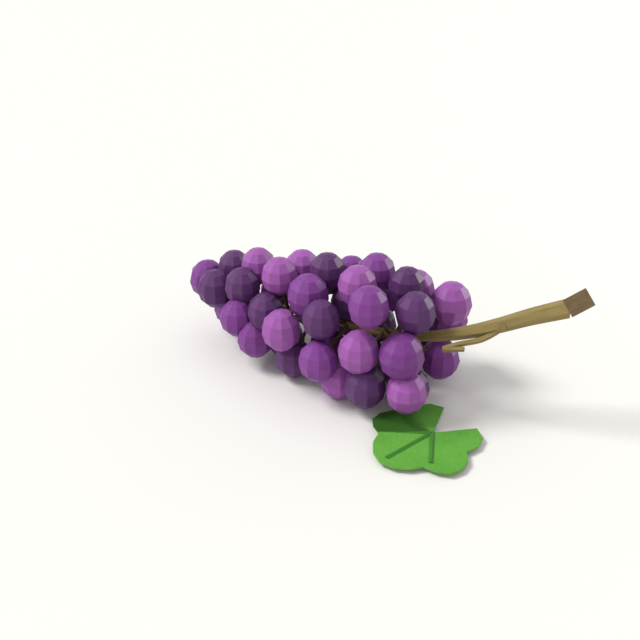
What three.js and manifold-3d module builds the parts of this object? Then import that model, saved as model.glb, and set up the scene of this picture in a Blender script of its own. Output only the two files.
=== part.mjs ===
// A bunch of dark table grapes lying on its side, with its stem and one leaf.
// Millimetres, +Z up. X runs along the rachis from the tip of the bunch to the cut stem, Y to the
// far side. The bunch rests on the lowest berries, which are pressed flat at Z = 0.
import * as THREE from 'three';
import { mergeVertices } from 'three/addons/utils/BufferGeometryUtils.js';
import Module from 'manifold-3d';

const wasm = await Module();
wasm.setup();

// Driving dimensions
const GAP = 0.3; // between pieces that touch
const BERRY_RADIUS = 9.7;
const BERRY_STRETCH = 1.08; // height over width
const BERRY_SIDES = 10;
const BERRY_RINGS = 6;
const BERRY_TURN = THREE.MathUtils.degToRad(16); // of the facets, about the upright
const PRESSED = 0.6; // depth of the flat spot under a berry that carries the bunch

const RACHIS_TIP_HEIGHT = 23.5;
const RACHIS_RISE = 0.052; // climb of the bunch's middle line for each millimetre along it
const SHOULDER_REACH = 28; // from the middle line to the middle of a berry, at the shoulder
const TIP_REACH = 11;
const TAPER_LENGTH = 120; // stretch over which the bunch narrows to its tip

const HIDDEN_FIRST = 40; // tiers of berries underneath and on the far side
const HIDDEN_STEP = 20.5;
const HIDDEN_TIERS = 6;
const HIDDEN_TURN = 245;
const HIDDEN_TURN_STEP = 36;
const HIDDEN_PER_TIER = 4;
const HIDDEN_CLEAR = 0.93; // least distance to a neighbour, in shares of touching

const STEM_SIDES = 6;
const RACHIS_LENGTH = 107; // the stretch of the stem that carries berries
const RACHIS_RADII = [1.35, 2.6]; // at the tip end and at the shoulder
const PEDUNCLE_RADII = [2.7, 4.4]; // at the shoulder and at the cut
const PEDICEL_SIDES = 5;
const PEDICEL_RADII = [0.95, 0.85]; // at the rachis and at the berry
const PEDICEL_LEAD = 1; // how far towards the shoulder a pedicel leaves the rachis
const PEDICEL_ROOTS = [2, 92]; // where along the rachis the first and the last pedicels leave
const TWIG_RADII = [1.5, 1.4];
const STUB_RADII = [1.5, 1.2];
const CUT_END_SIZE = [11.1, 8.6, 8.6];

const LEAF_SIDES = 60;
const LEAF_THICKNESS = 1;
const LEAF_BASE = new THREE.Vector3(155.9, -27.2, 2); // under the blade, which its ribs hold up
const LEAF_POINTS_TO = THREE.MathUtils.degToRad(-110); // direction of the midrib
const LEAF_RIDGE = 1.2; // height of the fold between the middle lobe and the far one
const LEAF_RIDGE_AT = -36; // degrees from the midrib
const LEAF_RIDGE_WIDTH = 30;
const LEAF_SINUS_RADIUS = 1.5; // where the two sides meet in the open cleft at the stalk
const RIB_RADII = [2.1, 2.1];

// Lobes on one side of the midrib: where each begins, peaks and ends, in degrees from the midrib, its
// reach at the peak, its radius where it begins and ends, and the straight stretches of its rim.
const LOBES = [
  { from: -36, peak: 0, to: 36, reach: 33, notches: [25, 25], stretches: 6 },
  { from: 36, peak: 60, to: 96, reach: 29.2, notches: [25, 19.6], stretches: 5 },
  { from: 96, peak: 132, to: 150, reach: 23, notches: [19.6, 21.3], stretches: 3 },
];
const LOBE_BLUNTNESS = 1.6;
const ANGLE_TOLERANCE = 1e-6;
const RIBS = [
  { turn: 0, length: 29 },
  { turn: 43, length: 22 },
  { turn: -36, length: 22 },
];

// Berries of the side that shows and in the gaps behind it, tier by tier from the tip: station along the
// rachis, turn round it (0 far, 90 up, 180 near), reach from it, and how much larger it is than most.
const SHOWING = [
  [[8, 81, 6, 1.05]],
  [[22, 286, 9, 1.05], [21, 140, 12.5, 1], [23, 70, 15, 0.95]],
  [[40.6, 182, 18, 0.96], [40, 81, 20, 0.95], [38.7, 126, 16.5, 0.98]],
  [[52, 207, 21, 1], [53, 24, 22.1, 0.95], [57, 160, 17, 0.98], [59, 105, 22.5, 0.97], [62, 61, 22.5, 0.96]],
  [[69, 24, 26.8, 1], [72, 172, 25, 1.03], [74, 222, 23.5, 1], [80, 124, 22.6, 1.08], [81, 81, 25, 0.96],
    [87, 46, 25.5, 0.95]],
  [[92, 339, 11.8, 0.88], [93, 149, 26, 0.96], [94, 78, 11, 0.88], [95, 192, 29, 1], [102, 224, 28, 1],
    [103, 101, 26, 1.02], [104, 63, 28, 1]],
  [[107, 347, 12.4, 0.89], [115, 174, 25, 1.04], [118, 130, 34, 1], [119, 211.5, 29.3, 1.06],
    [119, 285, 21, 1], [121, 34, 27, 1], [123, 73, 25.3, 0.96], [125, 326, 34.7, 0.9]],
  [[135, 112, 22, 1], [135, 170, 21, 1.12], [135, 251, 23, 0.95], [136, 358, 28.7, 1.1],
    [139, 214, 26.2, 1.02], [139.5, 313, 22, 1.03], [141, 34, 24, 1.06]],
];

// Paths of the wood: the stem from the bunch's tip to the cut, its bare side twig and the stub on that
const STEM = [[36, 0, 25.5], [65, 0, 27.2], [94, 0, 28.8], [119, 0, 30.4], [140, 0, 35.7], [158, 2.5, 42.4],
  [171, 5.3, 48.5], [183, 9.7, 54.2], [199, 15.5, 60.9]];
const TWIG = [[174, 1.5, 50.8], [171.8, 2.9, 47.5], [165, -0.2, 42], [156.4, -7.5, 40.5], [151, -10.9, 38.3]];
const STUB = [[151, -10.9, 37.9], [160.4, -8.7, 39.9]];

// The squared block at the cut: its middle, the direction along it and the one that a side of it faces
const CUT_END_MIDDLE = new THREE.Vector3(201.6, 17.4, 63.3);
const CUT_END_ALONG = new THREE.Vector3(0.71, 0.45, 0.54).normalize();
const CUT_END_FACES = new THREE.Vector3(0.19, -0.86, 0.47);

// One closed body from a three.js geometry
function solid(geometry) {
  geometry.deleteAttribute('normal');
  geometry.deleteAttribute('uv');
  const merged = mergeVertices(geometry);
  return new wasm.Manifold(new wasm.Mesh({
    numProp: 3,
    vertProperties: new Float32Array(merged.attributes.position.array),
    triVerts: new Uint32Array(merged.index.array),
  }));
}

// The largest body, without the scraps and with any sealed hollow filled
function wholeBody(body) {
  return body.decompose().sort((a, b) => b.volume() - a.volume())[0];
}

function toMesh(name, body, look) {
  const { vertProperties, triVerts } = body.getMesh();
  const geometry = new THREE.BufferGeometry();
  geometry.setAttribute('position', new THREE.BufferAttribute(vertProperties, 3));
  geometry.setIndex(new THREE.BufferAttribute(triVerts, 1));
  geometry.computeVertexNormals();
  const mesh = new THREE.Mesh(geometry, new THREE.MeshStandardMaterial(look));
  mesh.name = name;
  return mesh;
}

function vectors(points) {
  return points.map((point) => new THREE.Vector3(...point));
}

// A stalk with few sides along a path, a flat one below, its section kept level with a reference direction
function stalk(path, [startRadius, endRadius], sides, steps, reference) {
  const profile = [new THREE.Vector2(0, 0)];
  for (let i = 0; i <= steps; i++) {
    profile.push(new THREE.Vector2(THREE.MathUtils.lerp(startRadius, endRadius, i / steps), i / steps));
  }
  profile.push(new THREE.Vector2(0, 1));
  const geometry = new THREE.LatheGeometry(profile, sides, sides % 2 ? 0 : Math.PI / sides);
  const position = geometry.attributes.position;
  for (let i = 0; i < position.count; i++) {
    const along = position.getY(i);
    const tangent = path.getTangent(along);
    const side = new THREE.Vector3().crossVectors(tangent, reference).normalize();
    const up = new THREE.Vector3().crossVectors(side, tangent);
    const point = path.getPoint(along)
      .addScaledVector(side, position.getX(i))
      .addScaledVector(up, position.getZ(i));
    position.setXYZ(i, point.x, point.y, point.z);
  }
  return solid(geometry);
}

const X_AXIS = new THREE.Vector3(1, 0, 0);
const Z_AXIS = new THREE.Vector3(0, 0, 1);

// The stem's path between two lengths from its tip end
const stemPath = new THREE.CatmullRomCurve3(vectors(STEM));
function stemStretch(from, to) {
  const share = (along) => THREE.MathUtils.lerp(from, to, along) / stemPath.getLength();
  return {
    getPoint: (along) => stemPath.getPointAt(share(along)),
    getTangent: (along) => stemPath.getTangentAt(share(along)),
  };
}

function rachisHeight(station) {
  return RACHIS_TIP_HEIGHT + RACHIS_RISE * station;
}

function bunchReach(station) {
  return SHOULDER_REACH - (SHOULDER_REACH - TIP_REACH) * Math.max(0, 1 - station / TAPER_LENGTH) ** 2;
}

// A berry's middle, lifted where needed so that it lies on the surface
function berryPlace(station, turnDegrees, reach, radius) {
  const turn = THREE.MathUtils.degToRad(turnDegrees);
  const height = rachisHeight(station) + reach * Math.sin(turn);
  const lowest = radius * BERRY_STRETCH - PRESSED;
  return new THREE.Vector3(station, reach * Math.cos(turn), Math.max(height, lowest));
}

function layBerries() {
  const berries = [];
  for (const [station, turn, reach, swell] of SHOWING.flat()) {
    const radius = BERRY_RADIUS * swell;
    berries.push({ radius, place: berryPlace(station, turn, reach, radius) });
  }
  for (let tier = 0; tier < HIDDEN_TIERS; tier++) {
    for (let k = 0; k < HIDDEN_PER_TIER; k++) {
      const station = HIDDEN_FIRST + tier * HIDDEN_STEP;
      const turn = HIDDEN_TURN + (k + 0.5 * (tier % 2)) * HIDDEN_TURN_STEP;
      const place = berryPlace(station, turn, bunchReach(station), BERRY_RADIUS);
      const clear = berries.every((other) => (
        place.distanceTo(other.place) > HIDDEN_CLEAR * (BERRY_RADIUS + other.radius)));
      if (clear) berries.push({ radius: BERRY_RADIUS, place });
    }
  }
  return berries;
}

function berryBody({ radius, place }) {
  const geometry = new THREE.SphereGeometry(radius, BERRY_SIDES, BERRY_RINGS);
  geometry.rotateX(Math.PI / 2);
  geometry.rotateZ(BERRY_TURN);
  geometry.scale(1, 1, BERRY_STRETCH);
  geometry.translate(place.x, place.y, place.z);
  return solid(geometry);
}

// A pedicel leaves the rachis square to it and bends towards the tip, into its berry
function pedicelBody({ place }) {
  const along = THREE.MathUtils.clamp(place.x + PEDICEL_LEAD - STEM[0][0], ...PEDICEL_ROOTS);
  const root = stemPath.getPointAt(along / stemPath.getLength());
  const outward = new THREE.Vector3(0, place.y - root.y, place.z - root.z);
  const bend = root.clone().addScaledVector(outward, 0.5);
  bend.x = THREE.MathUtils.lerp(root.x, place.x, 0.3);
  const path = new THREE.QuadraticBezierCurve3(root, bend, place);
  return stalk(path, PEDICEL_RADII, PEDICEL_SIDES, 2, X_AXIS);
}

// Rachis, pedicels and berries, grown together, with the lowest berries pressed flat
function buildBerries() {
  let bunch = stalk(stemStretch(0, RACHIS_LENGTH), RACHIS_RADII, STEM_SIDES, 8, Z_AXIS);
  for (const berry of layBerries()) {
    bunch = bunch.add(pedicelBody(berry)).add(berryBody(berry));
  }
  const below = new THREE.BoxGeometry(600, 600, 100);
  below.translate(0, 0, -50);
  return wholeBody(bunch.subtract(solid(below)));
}

// A block along the cut end's axis, with its middle at a distance from the cut end's own
function cutEndBlock(length, width, depth, offset) {
  const facing = CUT_END_FACES.clone().projectOnPlane(CUT_END_ALONG).normalize();
  const side = new THREE.Vector3().crossVectors(facing, CUT_END_ALONG);
  const geometry = new THREE.BoxGeometry(length, width, depth);
  geometry.applyMatrix4(new THREE.Matrix4().makeBasis(CUT_END_ALONG, side, facing));
  geometry.translate(...CUT_END_MIDDLE.clone().addScaledVector(CUT_END_ALONG, offset).toArray());
  return solid(geometry);
}

// The bare stalk above the berries, trimmed to the cut end, with a side twig that has lost its berries
function buildStem() {
  const bare = stemStretch(RACHIS_LENGTH + GAP, stemPath.getLength());
  const twig = new THREE.CatmullRomCurve3(vectors(TWIG));
  const stub = new THREE.LineCurve3(...vectors(STUB));
  const [length, width] = CUT_END_SIZE;
  return wholeBody(stalk(bare, PEDUNCLE_RADII, STEM_SIDES, 6, Z_AXIS)
    .subtract(cutEndBlock(length, 3 * width, 3 * width, -GAP))
    .add(stalk(twig, TWIG_RADII, PEDICEL_SIDES, 8, Z_AXIS))
    .add(stalk(stub, STUB_RADII, PEDICEL_SIDES, 1, Z_AXIS)));
}

// Distance from the base to a corner of a lobe
function lobeRadius({ from, peak, to, reach, notches }, turn) {
  const notch = THREE.MathUtils.lerp(...notches, (turn - from) / (to - from));
  const fall = (turn - peak) / ((turn < peak ? from : to) - peak);
  return notch + (reach - notch) * (1 - fall ** LOBE_BLUNTNESS);
}

// Distance from the base to the rim, which runs straight from corner to corner
function leafRadius(degrees) {
  const turn = Math.abs(degrees);
  const lobe = LOBES.find(({ to }) => turn <= to + ANGLE_TOLERANCE);
  if (!lobe) return LEAF_SINUS_RADIUS;
  const step = (lobe.to - lobe.from) / lobe.stretches;
  const stretch = Math.floor((turn - lobe.from) / step + ANGLE_TOLERANCE);
  const corner = lobe.from + step * Math.min(stretch, lobe.stretches - 1);
  const here = lobeRadius(lobe, corner);
  const ahead = lobeRadius(lobe, corner + step);
  const past = THREE.MathUtils.degToRad(turn - corner);
  const whole = THREE.MathUtils.degToRad(step);
  return here * ahead * Math.sin(whole) / (here * Math.sin(past) + ahead * Math.sin(whole - past));
}

// Height of the leaf's lower face at a turn from the midrib and a share of the way to the edge
function leafHeight(degrees, share) {
  const ridge = Math.max(0, 1 - Math.abs(degrees - LEAF_RIDGE_AT) / LEAF_RIDGE_WIDTH);
  return LEAF_BASE.z + LEAF_RIDGE * ridge * share;
}

// A rib lies on the surface on a flat side of its five
function ribPoint(turnDegrees, length, radius) {
  const turn = THREE.MathUtils.degToRad(turnDegrees);
  const height = radius * Math.cos(Math.PI / PEDICEL_SIDES);
  return new THREE.Vector3(length * Math.cos(turn), length * Math.sin(turn), height);
}

// A thin blade of triangles that fan out from the base, alike on both faces, on ribs that show above it
function buildLeaf() {
  const geometry = new THREE.CylinderGeometry(1, 1, LEAF_THICKNESS, LEAF_SIDES);
  geometry.rotateX(Math.PI / 2);
  const position = geometry.attributes.position;
  for (let i = 0; i < position.count; i++) {
    const share = Math.hypot(position.getX(i), position.getY(i));
    const turn = Math.atan2(position.getY(i), position.getX(i));
    const degrees = THREE.MathUtils.radToDeg(turn);
    const radius = leafRadius(degrees) * share;
    const top = position.getZ(i) > 0 ? LEAF_THICKNESS : 0;
    position.setXYZ(i, radius * Math.cos(turn), radius * Math.sin(turn), leafHeight(degrees, share) + top);
  }
  let leaf = solid(geometry);
  for (const { turn, length } of RIBS) {
    const rib = new THREE.LineCurve3(ribPoint(turn, 0, RIB_RADII[0]), ribPoint(turn, length, RIB_RADII[1]));
    leaf = leaf.add(stalk(rib, RIB_RADII, PEDICEL_SIDES, 1, Z_AXIS));
  }
  const turned = new THREE.Matrix4().makeRotationZ(LEAF_POINTS_TO).setPosition(LEAF_BASE.x, LEAF_BASE.y, 0);
  return wholeBody(leaf.transform(turned.elements));
}

const bunchOfGrapes = new THREE.Group();
bunchOfGrapes.name = 'bunch_of_grapes';
bunchOfGrapes.add(
  toMesh('berries', buildBerries(), { color: 0x6f3a8c, roughness: 0.45, metalness: 0 }),
  toMesh('stem', buildStem(), { color: 0x8d7b45, roughness: 0.75, metalness: 0 }),
  toMesh('cut_end', cutEndBlock(...CUT_END_SIZE, 0), { color: 0x705a3a, roughness: 0.85, metalness: 0 }),
  toMesh('leaf', buildLeaf(), { color: 0x559c3a, roughness: 0.6, metalness: 0 }),
);

// Origin under the middle of the whole thing's box
const box = new THREE.Box3().setFromObject(bunchOfGrapes);
const middle = box.getCenter(new THREE.Vector3());
bunchOfGrapes.position.set(-middle.x, -middle.y, -box.min.z);

export default bunchOfGrapes;
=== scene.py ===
"""A bunch of dark table grapes lying on its side: faceted berries, olive stem and one green leaf.

The layout repeats that of the solids. Lengths are in millimetres, X along the rachis from the tip of the
bunch, Y to the far side and Z up from the surface. They turn to metres when a piece is made.
"""
import math

import bmesh
import bpy
from mathutils import Matrix, Vector, noise


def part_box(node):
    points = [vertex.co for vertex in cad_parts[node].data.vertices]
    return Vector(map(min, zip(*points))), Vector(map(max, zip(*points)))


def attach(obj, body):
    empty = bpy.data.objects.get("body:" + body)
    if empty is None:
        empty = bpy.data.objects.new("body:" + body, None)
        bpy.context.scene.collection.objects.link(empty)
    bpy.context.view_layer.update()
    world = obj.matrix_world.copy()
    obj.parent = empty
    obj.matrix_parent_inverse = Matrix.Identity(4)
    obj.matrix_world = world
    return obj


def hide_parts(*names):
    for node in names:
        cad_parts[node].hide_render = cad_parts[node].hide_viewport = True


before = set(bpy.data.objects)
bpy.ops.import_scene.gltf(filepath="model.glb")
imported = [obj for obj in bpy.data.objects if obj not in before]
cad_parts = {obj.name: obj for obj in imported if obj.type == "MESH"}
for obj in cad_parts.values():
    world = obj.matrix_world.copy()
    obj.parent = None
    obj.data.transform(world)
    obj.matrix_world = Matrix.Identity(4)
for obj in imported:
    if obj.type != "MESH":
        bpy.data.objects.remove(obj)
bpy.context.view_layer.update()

MM = 0.001
X_AXIS = Vector((1, 0, 0))
Z_AXIS = Vector((0, 0, 1))

# Berries
BERRY_RADIUS = 9.7
BERRY_STRETCH = 1.08
BERRY_SIDES = 10
BERRY_RINGS = 6
BERRY_TURN = math.radians(16)  # of the facets, about the upright
BERRY_EDGE = 0.14  # width of the softened edge between two facets
PRESSED = 0.6  # depth of the flat spot under a berry that carries the bunch
TONE_STEP = 0.618  # change of tone from one berry to the next

# The bunch's own outline
RACHIS_TIP_HEIGHT = 23.5
RACHIS_RISE = 0.052
SHOULDER_REACH = 28
TIP_REACH = 11
TAPER_LENGTH = 120

# Tiers of berries underneath and on the far side
HIDDEN_FIRST = 40
HIDDEN_STEP = 20.5
HIDDEN_TIERS = 6
HIDDEN_TURN = 245
HIDDEN_TURN_STEP = 36
HIDDEN_PER_TIER = 4
HIDDEN_CLEAR = 0.93  # least distance to a neighbour, in shares of touching
HIDDEN_RIPENESS = "mdd"

# Berries of the side that shows and in the gaps behind it, tier by tier from the tip: how ripe each is
# (light, mid or dark), then its station along the rachis, turn round it (0 far, 90 up, 180 near), reach
# and swell.
SHOWING = (
    ("m", [(8, 81, 6, 1.05)]),
    ("mdd", [(22, 286, 9, 1.05), (21, 140, 12.5, 1), (23, 70, 15, 0.95)]),
    ("mld", [(40.6, 182, 18, 0.96), (40, 81, 20, 0.95), (38.7, 126, 16.5, 0.98)]),
    ("mmdll", [(52, 207, 21, 1), (53, 24, 22.1, 0.95), (57, 160, 17, 0.98), (59, 105, 22.5, 0.97),
               (62, 61, 22.5, 0.96)]),
    ("dldmdm", [(69, 24, 26.8, 1), (72, 172, 25, 1.03), (74, 222, 23.5, 1), (80, 124, 22.6, 1.08),
                (81, 81, 25, 0.96), (87, 46, 25.5, 0.95)]),
    ("dddmllm", [(92, 339, 11.8, 0.88), (93, 149, 26, 0.96), (94, 78, 11, 0.88), (95, 192, 29, 1),
                 (102, 224, 28, 1), (103, 101, 26, 1.02), (104, 63, 28, 1)]),
    ("dlmddldd", [(107, 347, 12.4, 0.89), (115, 174, 25, 1.04), (118, 130, 34, 1), (119, 211.5, 29.3, 1.06),
                  (119, 285, 21, 1), (121, 34, 27, 1), (123, 73, 25.3, 0.96), (125, 326, 34.7, 0.9)]),
    ("dmdmlml", [(135, 112, 22, 1), (135, 170, 21, 1.12), (135, 251, 23, 0.95), (136, 358, 28.7, 1.1),
                 (139, 214, 26.2, 1.02), (139.5, 313, 22, 1.03), (141, 34, 24, 1.06)]),
)

# Wood: paths of the stem, of its bare side twig and of the stub on that
STEM = ((36, 0, 25.5), (65, 0, 27.2), (94, 0, 28.8), (119, 0, 30.4), (140, 0, 35.7), (158, 2.5, 42.4),
        (171, 5.3, 48.5), (183, 9.7, 54.2), (199, 15.5, 60.9))
TWIG = ((174, 1.5, 50.8), (171.8, 2.9, 47.5), (165, -0.2, 42), (156.4, -7.5, 40.5), (151, -10.9, 38.3))
STUB = ((151, -10.9, 37.9), (160.4, -8.7, 39.9))
RACHIS_LENGTH = 107
STEM_OVERLAP = 1  # stretch at its start over which the bare stem sheathes the rachis
RACHIS_RADII = (1.35, 2.6)
PEDUNCLE_RADII = (2.7, 4.4)
PEDICEL_RADII = (0.95, 0.85)
PEDICEL_LEAD = 1  # how far towards the shoulder a pedicel leaves the rachis
PEDICEL_ROOTS = (2, 92)  # where along the rachis the first and the last pedicels leave
PEDICEL_BEND = (0.3, 0.5)  # where it bends, in shares of its way along the rachis and out from it
PEDICEL_SUNK = 0.8  # share of the way to the berry's middle where it ends, inside the berry
ROOT_SWELL = 0.3  # how much it widens at its root
ROOT_AT = 1
ROOT_WIDTH = 2
TWIG_RADII = (1.5, 1.4)
STUB_RADII = (1.5, 1.2)
STEM_SIDES = 6
TWIG_SIDES = 5
FIBRE_DEPTH = 0.12  # height of the ridges along the wood
FIBRE_CHANGE = (0.05, 1.7, 0.37)  # how fast a ridge changes along the wood, round it and by where it starts
COLLAR_SWELL = 0.8  # how much a pedicel widens where it meets its berry
COLLAR_WIDTH = 0.9
COLLAR_OFFSET = 0.3  # from the berry's skin
DRY_LENGTH = 60  # stretch before the cut over which the wood dries out

# The darker block at the cut: its middle, the direction along it and the one that a side of it faces
CUT_SIZE = (11.1, 8.6, 8.6)
CUT_MIDDLE = Vector((201.6, 17.4, 63.3))
CUT_ALONG = Vector((0.71, 0.45, 0.54)).normalized()
CUT_FACES = Vector((0.19, -0.86, 0.47))
CUT_EDGE = 0.3
CUT_FIT = 12  # stretch of the stem that leans over to meet the block
CUT_GAPE = 0.34  # how much the joint opens downwards, for each millimetre
CUT_CLOSES = 0.1  # depth below the stem's middle where the joint begins to open
TRIM_STEP = 0.02  # fineness to which the stem's end is found

# Leaf: its base, its fold, and the lobes on one side of the midrib, each with where it begins, peaks and
# ends, in degrees from the midrib, its reach at the peak, its radius where it begins and ends, and the
# straight stretches of its rim
LEAF_BASE = Vector((155.9, -27.2, 2))
LEAF_POINTS_TO = math.radians(-110)
LEAF_THICKNESS = 1
LEAF_RIDGE = 1.2
LEAF_RIDGE_AT = -36
LEAF_RIDGE_WIDTH = 30
LEAF_SINUS_RADIUS = 1.5
LEAF_STEP = 2  # degrees between two spokes of the blade
LEAF_RINGS = 12
LEAF_EDGE = 0.2  # width of the softened rim
PAINTED_SHADE_FADE = (-70, -110)  # turns between which the painted shade beyond the fold fades out
LOBES = (
    (-36, 0, 36, 33, (25, 25), 6),
    (36, 60, 96, 29.2, (25, 19.6), 5),
    (96, 132, 150, 23, (19.6, 21.3), 3),
)
LOBE_BLUNTNESS = 1.6
ANGLE_TOLERANCE = 1e-6
RIBS = ((0, 29), (43, 22), (-36, 22))
RIB_RADII = (2.1, 2.1)

# View and light: the camera's place, and each light's turn from it, height, softness and strength
CAMERA_AT = Vector((279.5, -333.5, 254.9))
CAMERA_AZIMUTH = 31
CAMERA_ELEVATION = 30.454
LENS = 50
SENSOR = 36
KEY_LIGHT = (-97, 51, 22, 2.25)
RIM_LIGHT = (124, 15, 20, 2.0)
AIR_STRENGTH = 0.7
FLOOR_COLOUR = (0.81, 0.795, 0.76, 1)
FLOOR_REACH = 4.0  # metres

CUT_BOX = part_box("cut_end")
ORIGIN = (CUT_BOX[0] + CUT_BOX[1]) / 2 - CUT_MIDDLE * MM


def lerp(start, end, share):
    return start + (end - start) * share


def clamp(value, low, high):
    return max(low, min(high, value))


def bump(distance, width):
    """A smooth swelling, 1 at no distance and close to 0 beyond twice the width."""
    return math.exp(-(distance / width) ** 2)


class Value:
    """A number given by a shader node. Sums of values add the Math nodes for them."""

    def __init__(self, finish, socket):
        self.finish = finish
        self.socket = socket

    def math(self, operation, first, second):
        return self.finish.node("Math", {"operation": operation}, {0: first, 1: second})

    def __add__(self, other):
        return self.math("ADD", self, other)

    __radd__ = __add__

    def __sub__(self, other):
        return self.math("SUBTRACT", self, other)

    def __rsub__(self, other):
        return self.math("SUBTRACT", other, self)

    def __mul__(self, other):
        return self.math("MULTIPLY", self, other)

    __rmul__ = __mul__

    def between(self, low, high):
        """0 below low, 1 above high and smooth in between."""
        return self.finish.node("MapRange", {"interpolation_type": "SMOOTHSTEP"},
                                {"Value": self, "From Min": low, "From Max": high})


class Finish:
    """A material, with the nodes that feed its shader."""

    def __init__(self, name, **constants):
        self.material = bpy.data.materials.new(name)
        self.material.use_nodes = True
        self.tree = self.material.node_tree
        self.shader = self.tree.nodes["Principled BSDF"]
        for socket, value in constants.items():
            self.shader.inputs[socket.replace("_", " ")].default_value = value

    def node(self, kind, settings, sockets, out=0):
        made = self.tree.nodes.new("ShaderNode" + kind)
        for setting, value in settings.items():
            setattr(made, setting, value)
        for socket, value in sockets.items():
            if isinstance(value, Value):
                self.tree.links.new(value.socket, made.inputs[socket])
            else:
                made.inputs[socket].default_value = value
        return Value(self, made.outputs[out])

    def place(self):
        return self.node("TexCoord", {}, {}, out="Object")

    def carried(self, name, out="Fac"):
        """A value that the piece's vertices carry."""
        return self.node("Attribute", {"attribute_name": name}, {}, out=out)

    def cloud(self, where, scale=1.0, detail=2.0, roughness=0.5):
        sockets = {"Vector": where, "Scale": scale, "Detail": detail, "Roughness": roughness}
        return self.node("TexNoise", {}, sockets, out="Fac")

    def stretched(self, where, factors):
        return self.node("VectorMath", {"operation": "MULTIPLY"}, {0: where, 1: factors})

    def mix(self, share, first, second):
        return self.node("Mix", {"data_type": "RGBA"}, {0: share, 6: first, 7: second}, out=2)

    def relief(self, height, strength, distance):
        return self.node("Bump", {}, {"Strength": strength, "Distance": distance, "Height": height})

    def shade(self, colour, roughness, normal):
        for socket, value in (("Base Color", colour), ("Roughness", roughness), ("Normal", normal)):
            self.tree.links.new(value.socket, self.shader.inputs[socket])
        return self.material


def grape_skin(name, deep, bright, veil):
    """Satin skin with a thin waxy bloom that lies unevenly, and tone that differs from berry to berry."""
    skin = Finish(name, IOR=1.33)
    where = skin.place()
    tone = skin.carried("tone")
    blush = skin.cloud(where, scale=70, detail=3.0).between(0.3, 0.7)
    speckle = skin.cloud(where, scale=2600, detail=1.0).between(0.62, 0.74)
    dust = skin.cloud(where, scale=240, detail=4.0, roughness=0.62).between(0.42, 0.74)
    colour = skin.mix(0.4 * blush + 0.6 * tone, deep, bright)
    colour = skin.mix(0.12 * dust, colour, veil)
    colour = skin.mix(0.1 * speckle, colour, veil)
    roughness = 0.42 + 0.08 * dust + 0.04 * blush
    height = skin.cloud(where, scale=900)
    return skin.shade(colour, roughness, skin.relief(height, strength=0.04, distance=0.0002))


def vine_wood(name, shaded, lit, dry):
    """Olive stem wood with fibres along it, drier and paler towards the cut."""
    wood = Finish(name, IOR=1.4)
    grain = wood.carried("grain", "Vector")
    dryness = wood.carried("dryness")
    fibre = wood.cloud(wood.stretched(grain, (0.06, 1.6, 1.6)), detail=4.0, roughness=0.6)
    patch = wood.cloud(wood.stretched(grain, (0.09, 0.2, 0.2)), detail=3.0)
    pores = wood.cloud(wood.stretched(grain, (0.5, 2.4, 2.4))).between(0.66, 0.76)
    colour = wood.mix(fibre.between(0.3, 0.7), shaded, lit)
    colour = wood.mix(dryness * patch.between(0.3, 0.6) * 0.7, colour, dry)
    colour = wood.mix(0.5 * pores, colour, shaded)
    roughness = 0.62 + 0.22 * fibre
    relief = wood.relief(fibre - 0.6 * pores, strength=0.35, distance=0.0004)
    return wood.shade(colour, roughness, relief)


def cut_wood(name, shaded, lit):
    """Dry brown wood of the cut, with fibres along it."""
    wood = Finish(name, IOR=1.4)
    grain = wood.carried("grain", "Vector")
    fibre = wood.cloud(wood.stretched(grain, (0.12, 1.3, 1.3)), detail=5.0, roughness=0.62)
    patch = wood.cloud(grain, scale=0.16, detail=3.0)
    colour = wood.mix(0.6 * fibre.between(0.3, 0.7) + 0.4 * patch.between(0.3, 0.7), shaded, lit)
    roughness = 0.7 + 0.2 * fibre
    return wood.shade(colour, roughness, wood.relief(fibre, strength=0.4, distance=0.0005))


def leaf_green(name, deep, bright, pale, painted_shade_green):
    """Fresh green with a faint net of small veins, paler underneath, and with painted shade: a dark green
    beyond the fold in place of the bunch's shadow.
    """
    green = Finish(name, IOR=1.15)
    where = green.place()
    underside = green.carried("underside")
    patch = green.cloud(where, scale=60, detail=3.0).between(0.3, 0.7)
    net = green.node("TexVoronoi", {"feature": "DISTANCE_TO_EDGE"}, {"Vector": where, "Scale": 420},
                     out="Distance")
    cells = net.between(0.0, 0.16)
    colour = green.mix(0.65 * patch + 0.35 * cells, deep, bright)
    colour = green.mix(0.6 * underside, colour, pale)
    # painted shade: the lobe beyond the fold is darkened towards the last colour, standing in for the shadow
    # of the berries above it
    colour = green.mix(0.92 * green.carried("beyond_fold"), colour, painted_shade_green)
    roughness = 0.6 + 0.14 * patch
    return green.shade(colour, roughness, green.relief(cells, strength=0.12, distance=0.0003))


class Shape:
    """Points in millimetres, faces and values at the points, of a piece in the making."""

    def __init__(self):
        self.points = []
        self.faces = []
        self.values = {}

    def add(self, points, faces, **values):
        first = len(self.points)
        self.points += points
        self.faces += [[first + corner for corner in face] for face in faces]
        for name, each in values.items():
            self.values.setdefault(name, []).extend(each)

    def piece(self, name, material, slot, node):
        mesh = bpy.data.meshes.new(name)
        mesh.from_pydata([ORIGIN + point * MM for point in self.points], [], self.faces)
        for label, each in self.values.items():
            if isinstance(each[0], Vector):
                layer = mesh.attributes.new(label, "FLOAT_VECTOR", "POINT")
                layer.data.foreach_set("vector", [part for value in each for part in value])
            else:
                layer = mesh.attributes.new(label, "FLOAT", "POINT")
                layer.data.foreach_set("value", each)
        mesh.materials.append(material)
        mesh.validate()
        made = bpy.data.objects.new(name, mesh)
        bpy.context.scene.collection.objects.link(made)
        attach(made, "root")
        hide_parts(node)


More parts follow.
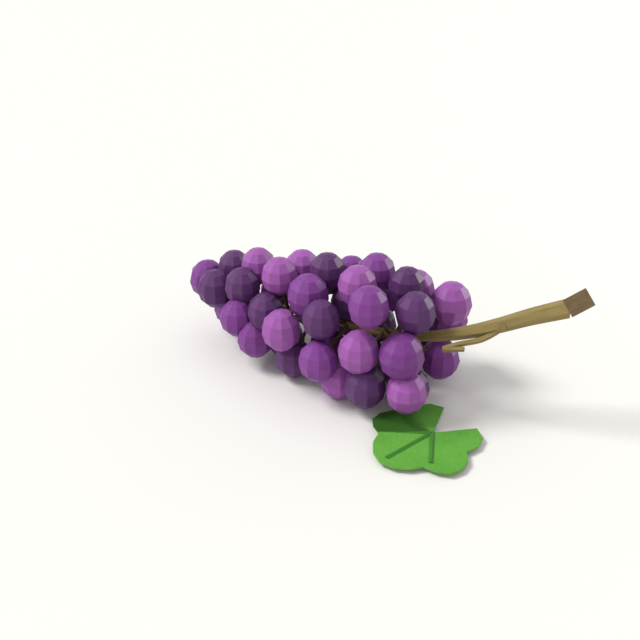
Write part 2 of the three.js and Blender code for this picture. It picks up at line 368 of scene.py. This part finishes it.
class Path:
    """A curve through points, measured along its length."""

    def __init__(self, point_at, steps):
        self.points = [point_at(i / steps) for i in range(steps + 1)]
        self.marks = [0.0]
        for before, after in zip(self.points, self.points[1:]):
            self.marks.append(self.marks[-1] + (after - before).length)
        self.length = self.marks[-1]

    def step_at(self, along):
        along = clamp(along, 0, self.length)
        for i in range(1, len(self.marks)):
            if along <= self.marks[i]:
                return i - 1, (along - self.marks[i - 1]) / (self.marks[i] - self.marks[i - 1])
        return len(self.marks) - 2, 1.0

    def point(self, along):
        i, share = self.step_at(along)
        return self.points[i].lerp(self.points[i + 1], share)

    def tangent(self, along):
        reach = self.length / len(self.points)
        return (self.point(along + reach) - self.point(along - reach)).normalized()


def through(points, steps=240):
    """A smooth path through all the points, as a centripetal spline."""
    knots = [Vector(point) for point in points]
    ends = [2 * knots[0] - knots[1]] + knots + [2 * knots[-1] - knots[-2]]

    def point_at(share):
        place = share * (len(knots) - 1)
        i = min(int(place), len(knots) - 2)
        before, start, end, after = ends[i:i + 4]
        gaps = [math.sqrt((b - a).length) for a, b in ((before, start), (start, end), (end, after))]
        leave = (start - before) / gaps[0] - (end - before) / (gaps[0] + gaps[1]) + (end - start) / gaps[1]
        reach = (end - start) / gaps[1] - (after - start) / (gaps[1] + gaps[2]) + (after - end) / gaps[2]
        t = place - i
        return ((2 * t ** 3 - 3 * t ** 2 + 1) * start + (t ** 3 - 2 * t ** 2 + t) * leave * gaps[1]
                + (3 * t ** 2 - 2 * t ** 3) * end + (t ** 3 - t ** 2) * reach * gaps[1])

    return Path(point_at, steps)


def fresh(point):
    return 0.0


def drying(point):
    """How dry the wood is: green in the bunch, dry at the cut."""
    return clamp(1 - (point - CUT_MIDDLE).length / DRY_LENGTH, 0, 1)


def stalk(shape, path, start, end, radius_at, sides, steps, reference, ribs=4, dryness=fresh, ends_on=None):
    """Wood along a path: flat sides, each with fine ridges along it, and closed ends.

    The last stretch leans over to end on a plane square to ends_on, where that is given.
    """
    along_change, round_change, start_change = FIBRE_CHANGE
    around = sides * ribs
    flat_below = 0 if sides % 2 else math.pi / sides
    points, grain, faces = [], [], []
    for i in range(steps + 1):
        along = lerp(start, end, i / steps)
        tangent = path.tangent(along)
        side = tangent.cross(reference).normalized()
        up = side.cross(tangent)
        lean = Vector()
        if ends_on:
            lean = ends_on / tangent.dot(ends_on) * clamp(1 - (end - along) / CUT_FIT, 0, 1)
        for k in range(around):
            turn = 2 * math.pi * k / around + flat_below
            from_flat = 2 * math.pi * (k / around - (k // ribs + 0.5) / sides)
            flat = math.cos(math.pi / sides) / math.cos(from_flat)
            ridge = noise.noise(Vector((along * along_change, k * round_change, start * start_change)))
            radius = radius_at(along) * flat + FIBRE_DEPTH * ridge
            offset = (side * math.sin(turn) + up * math.cos(turn)) * radius
            points.append(path.point(along) + offset - tangent * offset.dot(lean))
            grain.append(Vector((along, math.sin(turn) * radius, math.cos(turn) * radius)))
    for i in range(steps):
        for k in range(around):
            ring, turned = i * around, (k + 1) % around
            faces.append([ring + k, ring + turned, ring + around + turned, ring + around + k])
    for ring, along in ((0, start), (steps, end)):
        middle = len(points)
        points.append(path.point(along))
        grain.append(Vector((along, 0, 0)))
        for k in range(around):
            pair = [ring * around + k, ring * around + (k + 1) % around]
            faces.append([middle] + (pair if ring else pair[::-1]))
    shape.add(points, faces, grain=grain, dryness=[dryness(point) for point in points])


def rachis_height(station):
    return RACHIS_TIP_HEIGHT + RACHIS_RISE * station


def bunch_reach(station):
    return SHOULDER_REACH - (SHOULDER_REACH - TIP_REACH) * max(0, 1 - station / TAPER_LENGTH) ** 2


def berry_place(station, turn, reach, radius):
    """A berry's middle, lifted where needed so that it lies on the surface."""
    height = rachis_height(station) + reach * math.sin(math.radians(turn))
    lowest = radius * BERRY_STRETCH - PRESSED
    return Vector((station, reach * math.cos(math.radians(turn)), max(height, lowest)))


def lay_berries():
    """Ripeness, radius and middle of every berry: those that show, then those that fit in behind them."""
    berries = []
    for ripeness, tier in SHOWING:
        for ripe, (station, turn, reach, swell) in zip(ripeness, tier):
            radius = BERRY_RADIUS * swell
            berries.append((ripe, radius, berry_place(station, turn, reach, radius)))
    for tier in range(HIDDEN_TIERS):
        for k in range(HIDDEN_PER_TIER):
            station = HIDDEN_FIRST + tier * HIDDEN_STEP
            turn = HIDDEN_TURN + (k + 0.5 * (tier % 2)) * HIDDEN_TURN_STEP
            place = berry_place(station, turn, bunch_reach(station), BERRY_RADIUS)
            if all((place - other).length > HIDDEN_CLEAR * (BERRY_RADIUS + radius)
                   for _, radius, other in berries):
                ripe = HIDDEN_RIPENESS[(2 * tier + k) % len(HIDDEN_RIPENESS)]
                berries.append((ripe, BERRY_RADIUS, place))
    return berries


def faceted_berry(radius, place):
    """Points and faces of one berry: facets with softened edges, pressed flat where it lies."""

    def corner(ring, side):
        down = math.pi * ring / BERRY_RINGS
        turn = BERRY_TURN + 2 * math.pi * side / BERRY_SIDES
        wide = math.sin(down)
        return place + radius * Vector((wide * math.cos(turn), wide * math.sin(turn),
                                        math.cos(down) * BERRY_STRETCH))

    berry = bmesh.new()
    top = berry.verts.new(corner(0, 0))
    bottom = berry.verts.new(corner(BERRY_RINGS, 0))
    rings = [[berry.verts.new(corner(ring, side)) for side in range(BERRY_SIDES)]
             for ring in range(1, BERRY_RINGS)]
    for side in range(BERRY_SIDES):
        after = (side + 1) % BERRY_SIDES
        berry.faces.new((top, rings[0][side], rings[0][after]))
        berry.faces.new((bottom, rings[-1][after], rings[-1][side]))
        for upper, lower in zip(rings, rings[1:]):
            berry.faces.new((upper[side], lower[side], lower[after], upper[after]))
    if bottom.co.z < 0:
        everything = berry.verts[:] + berry.edges[:] + berry.faces[:]
        cut = bmesh.ops.bisect_plane(berry, geom=everything, plane_co=(0, 0, 0), plane_no=Z_AXIS,
                                     clear_inner=True)
        rim = [part for part in cut["geom_cut"] if isinstance(part, bmesh.types.BMEdge)]
        bmesh.ops.contextual_create(berry, geom=rim)
    return softened(berry, BERRY_EDGE)


def softened(body, width):
    """Points and faces of a body whose edges have all been rounded a little."""
    bmesh.ops.bevel(body, geom=body.edges[:], offset=width, segments=2, profile=0.5, affect="EDGES")
    bmesh.ops.recalc_face_normals(body, faces=body.faces[:])
    body.verts.index_update()
    points = [vert.co.copy() for vert in body.verts]
    faces = [[vert.index for vert in face.verts] for face in body.faces]
    body.free()
    return points, faces


def build_berries(berries):
    skins = {
        "l": ("berries_light", grape_skin(
            "light_grape_skin", (0.30, 0.084, 0.335, 1), (0.35, 0.100, 0.395, 1), (0.47, 0.27, 0.53, 1))),
        "m": ("berries_mid", grape_skin(
            "mid_grape_skin", (0.175, 0.038, 0.222, 1), (0.215, 0.050, 0.272, 1), (0.32, 0.17, 0.39, 1))),
        "d": ("berries_dark", grape_skin(
            "dark_grape_skin", (0.086, 0.025, 0.112, 1), (0.110, 0.035, 0.140, 1), (0.20, 0.115, 0.24, 1))),
    }
    shapes = {ripe: Shape() for ripe in skins}
    for count, (ripe, radius, place) in enumerate(berries):
        points, faces = faceted_berry(radius, place)
        tone = (count * TONE_STEP) % 1
        shapes[ripe].add(points, faces, tone=[tone] * len(points))
    for ripe, (name, material) in skins.items():
        shapes[ripe].piece(name, material, "berry_skin", "berries")


def build_rachis(berries, stem_path, wood):
    """The stalk inside the bunch and a pedicel to each berry, flared where it meets the skin."""
    rachis, pedicels = Shape(), Shape()

    def rachis_radius(along):
        return lerp(*RACHIS_RADII, along / RACHIS_LENGTH)

    stalk(rachis, stem_path, 0, RACHIS_LENGTH, rachis_radius, STEM_SIDES, steps=60, reference=Z_AXIS)
    bend_along, bend_out = PEDICEL_BEND
    for _, radius, place in berries:
        root = stem_path.point(clamp(place.x + PEDICEL_LEAD - STEM[0][0], *PEDICEL_ROOTS))
        bend = root + bend_out * Vector((0, place.y - root.y, place.z - root.z))
        bend.x = lerp(root.x, place.x, bend_along)

        def point_at(share):
            return root.lerp(bend, share).lerp(bend.lerp(place, share), share)

        path = Path(point_at, 24)

        def pedicel_radius(along):
            from_skin = (path.point(along) - place).length - radius
            collar = COLLAR_SWELL * bump(from_skin - COLLAR_OFFSET, COLLAR_WIDTH)
            foot = ROOT_SWELL * bump(along - ROOT_AT, ROOT_WIDTH)
            return lerp(*PEDICEL_RADII, along / path.length) + collar + foot

        stalk(pedicels, path, 0, path.length * PEDICEL_SUNK, pedicel_radius, TWIG_SIDES, steps=20,
              reference=X_AXIS, ribs=2)
    rachis.piece("rachis", wood, "stem_wood", "berries")
    flushed = vine_wood("pedicel_wood", (0.085, 0.045, 0.034, 1), (0.14, 0.08, 0.052, 1),
                        (0.2, 0.14, 0.07, 1))
    pedicels.piece("pedicels", flushed, "stem_wood", "berries")


def build_stem(stem_path, wood):
    """The bare stalk above the berries, with a side twig that has lost its berries."""
    stem = Shape()
    upward = (Z_AXIS - CUT_ALONG * CUT_ALONG.z).normalized()
    cut_plane = CUT_MIDDLE - CUT_ALONG * (CUT_SIZE[0] / 2 - CUT_GAPE * CUT_CLOSES)
    start = RACHIS_LENGTH - STEM_OVERLAP
    end = start
    while (stem_path.point(end) - cut_plane).dot(CUT_ALONG) < 0:
        end += TRIM_STEP

    def stem_radius(along):
        return lerp(*PEDUNCLE_RADII, (along - start) / (stem_path.length - start))

    stalk(stem, stem_path, start, end, stem_radius, STEM_SIDES, steps=80, reference=Z_AXIS, ribs=5,
          dryness=drying, ends_on=CUT_ALONG - CUT_GAPE * upward)
    for points, radii, steps in ((TWIG, TWIG_RADII, 40), (STUB, STUB_RADII, 12)):
        path = through(points, 2 * steps)

        def radius_at(along):
            return lerp(*radii, along / path.length)

        stalk(stem, path, 0, path.length, radius_at, TWIG_SIDES, steps, reference=Z_AXIS, dryness=drying)
    stem.piece("bare_stem", wood, "stem_wood", "stem")


def build_cut_end():
    """The squared block of darker wood where the stem was cut."""
    facing = (CUT_FACES - CUT_ALONG * CUT_FACES.dot(CUT_ALONG)).normalized()
    turned = Matrix((CUT_ALONG, facing.cross(CUT_ALONG), facing)).transposed()
    block = bmesh.new()
    bmesh.ops.create_cube(block, size=1)
    for vert in block.verts:
        vert.co = Vector([part * size for part, size in zip(vert.co, CUT_SIZE)])
    local, faces = softened(block, CUT_EDGE)
    shape = Shape()
    shape.add([CUT_MIDDLE + turned @ point for point in local], faces, grain=local)
    wood = cut_wood("cut_wood", (0.118, 0.079, 0.036, 1), (0.185, 0.130, 0.064, 1))
    shape.piece("cut_block", wood, "cut_wood", "cut_end")


def lobe_radius(lobe, turn):
    """Distance from the base to a corner of a lobe."""
    start, peak, end, reach, notches, _ = lobe
    notch = lerp(*notches, (turn - start) / (end - start))
    fall = (turn - peak) / ((start if turn < peak else end) - peak)
    return notch + (reach - notch) * (1 - fall ** LOBE_BLUNTNESS)


def leaf_radius(degrees):
    """Distance from the base to the rim, which runs straight from corner to corner."""
    turn = abs(degrees)
    for lobe in LOBES:
        start, _, end, _, _, stretches = lobe
        if turn <= end + ANGLE_TOLERANCE:
            step = (end - start) / stretches
            stretch = math.floor((turn - start) / step + ANGLE_TOLERANCE)
            corner = start + step * min(stretch, stretches - 1)
            here, ahead = lobe_radius(lobe, corner), lobe_radius(lobe, corner + step)
            past, whole = math.radians(turn - corner), math.radians(step)
            return here * ahead * math.sin(whole) / (here * math.sin(past) + ahead * math.sin(whole - past))
    return LEAF_SINUS_RADIUS


def leaf_height(degrees, share):
    """Height of the leaf's lower face at a turn from the midrib and a share of the way to its edge."""
    ridge = max(0, 1 - abs(degrees - LEAF_RIDGE_AT) / LEAF_RIDGE_WIDTH)
    return LEAF_BASE.z + LEAF_RIDGE * ridge * share


def leaf_point(degrees, radius, height):
    turn = LEAF_POINTS_TO + math.radians(degrees)
    return Vector((LEAF_BASE.x + radius * math.cos(turn), LEAF_BASE.y + radius * math.sin(turn), height))


def painted_shade_share(degrees):
    """How much painted shade darkens the green at a turn from the midrib: all of it next to the fold, on its
    far side.
    """
    if degrees >= LEAF_RIDGE_AT:
        return 0.0
    full, none = PAINTED_SHADE_FADE
    return clamp((degrees - none) / (full - none), 0, 1)


def build_leaf_blade():
    """A thin blade in rings round its base: out along the lower face, over the rim and back above."""
    spokes = [-180 + LEAF_STEP * i for i in range(360 // LEAF_STEP)]
    count = len(spokes)
    shares = [ring / LEAF_RINGS for ring in range(1, LEAF_RINGS + 1)]
    rings = [(share, LEAF_EDGE, 0, 1) for share in shares]
    rings += [(1, 0, LEAF_EDGE, 1), (1, 0, LEAF_THICKNESS - LEAF_EDGE, 0)]
    rings += [(share, LEAF_EDGE, LEAF_THICKNESS, 0) for share in reversed(shares)]
    points, faces, underside = [leaf_point(0, 0, LEAF_BASE.z)], [], [1.0]
    # painted shade on the lobe beyond the fold, standing in for the shadow that the bunch throws on it
    beyond_fold = [0.0] + [painted_shade_share(turn) for turn in spokes] * len(rings) + [0.0]
    for share, inset, lift, under in rings:
        for turn in spokes:
            radius = (leaf_radius(turn) - inset) * share
            points.append(leaf_point(turn, radius, leaf_height(turn, share) + lift))
        underside += [float(under)] * count
    points.append(leaf_point(0, 0, LEAF_BASE.z + LEAF_THICKNESS))
    underside.append(0.0)
    last = len(points) - 1
    for k in range(count):
        after = (k + 1) % count
        faces.append([0, 1 + after, 1 + k])
        faces.append([last, last - count + k, last - count + after])
        for ring in range(len(rings) - 1):
            inner, outer = 1 + ring * count, 1 + (ring + 1) * count
            faces.append([inner + k, inner + after, outer + after, outer + k])
    blade = Shape()
    blade.add(points, faces, underside=underside, beyond_fold=beyond_fold)
    # the last colour is the painted shade beyond the fold
    green = leaf_green("leaf_green", (0.096, 0.31, 0.041, 1), (0.136, 0.388, 0.059, 1),
                       (0.24, 0.40, 0.15, 1), (0.028, 0.095, 0.013, 1))
    blade.piece("leaf_blade", green, "leaf_green", "leaf")


def build_leaf_ribs():
    """Ribs that lie on the surface, carry the blade and show above it."""
    ribs = Shape()
    flat_side = math.cos(math.pi / TWIG_SIDES)
    for turn, length in RIBS:
        ends = [leaf_point(turn, reach, radius * flat_side + FIBRE_DEPTH)
                for reach, radius in zip((0, length), RIB_RADII)]
        path = through(ends, 24)

        def rib_radius(along):
            return lerp(*RIB_RADII, along / path.length)

        stalk(ribs, path, 0, path.length, rib_radius, TWIG_SIDES, steps=24, reference=Z_AXIS)
    # the ribs are not underside and get no painted shade
    for name in ("underside", "beyond_fold"):
        ribs.values[name] = [0.0] * len(ribs.points)
    # the last colour, the painted shade, goes unused on the ribs
    green = leaf_green("leaf_rib_green", (0.05, 0.185, 0.026, 1), (0.072, 0.235, 0.036, 1),
                       (0.2, 0.36, 0.12, 1), (0.028, 0.095, 0.013, 1))
    ribs.piece("leaf_ribs", green, "leaf_green", "leaf")


def build_floor():
    mesh = bpy.data.meshes.new("floor")
    reach = FLOOR_REACH
    corners = [(-reach, -reach, 0), (reach, -reach, 0), (reach, reach, 0), (-reach, reach, 0)]
    mesh.from_pydata(corners, [], [(0, 1, 2, 3)])
    floor = bpy.data.objects.new("floor", mesh)
    bpy.context.scene.collection.objects.link(floor)
    plain = Finish("plain_pale_floor", Base_Color=FLOOR_COLOUR, Roughness=0.8)
    mesh.materials.append(plain.material)


def build_camera():
    data = bpy.data.cameras.new("camera")
    data.lens = LENS
    data.sensor_width = SENSOR
    camera = bpy.data.objects.new("camera", data)
    camera.location = ORIGIN + CAMERA_AT * MM
    camera.rotation_euler = (math.radians(90 - CAMERA_ELEVATION), 0, math.radians(CAMERA_AZIMUTH))
    bpy.context.scene.collection.objects.link(camera)
    bpy.context.scene.camera = camera


def build_light(name, turn, elevation, softness, strength):
    """An even light from far off. turn is counted from the camera, to the right."""
    data = bpy.data.lights.new(name, "SUN")
    data.angle = math.radians(softness)
    data.energy = strength
    lamp = bpy.data.objects.new(name, data)
    lamp.rotation_euler = (math.radians(90 - elevation), 0, math.radians(CAMERA_AZIMUTH + turn))
    bpy.context.scene.collection.objects.link(lamp)
    return lamp


def build_light_and_air():
    build_light("key_light", *KEY_LIGHT)
    gloss_only = build_light("rim_light", *RIM_LIGHT)
    gloss_only.visible_diffuse = False
    world = bpy.data.worlds.new("studio_air")
    world.use_nodes = True
    background = world.node_tree.nodes["Background"]
    background.inputs["Color"].default_value = (1, 1, 1, 1)
    background.inputs["Strength"].default_value = AIR_STRENGTH
    bpy.context.scene.world = world
    bpy.context.scene.view_settings.view_transform = "Standard"


def build_bunch():
    berries = lay_berries()
    stem_path = through(STEM)
    wood = vine_wood("vine_wood", (0.19, 0.142, 0.046, 1), (0.285, 0.214, 0.074, 1), (0.30, 0.222, 0.082, 1))
    build_berries(berries)
    build_rachis(berries, stem_path, wood)
    build_stem(stem_path, wood)
    build_cut_end()
    build_leaf_blade()
    build_leaf_ribs()


build_camera()
build_light_and_air()
build_floor()
build_bunch()
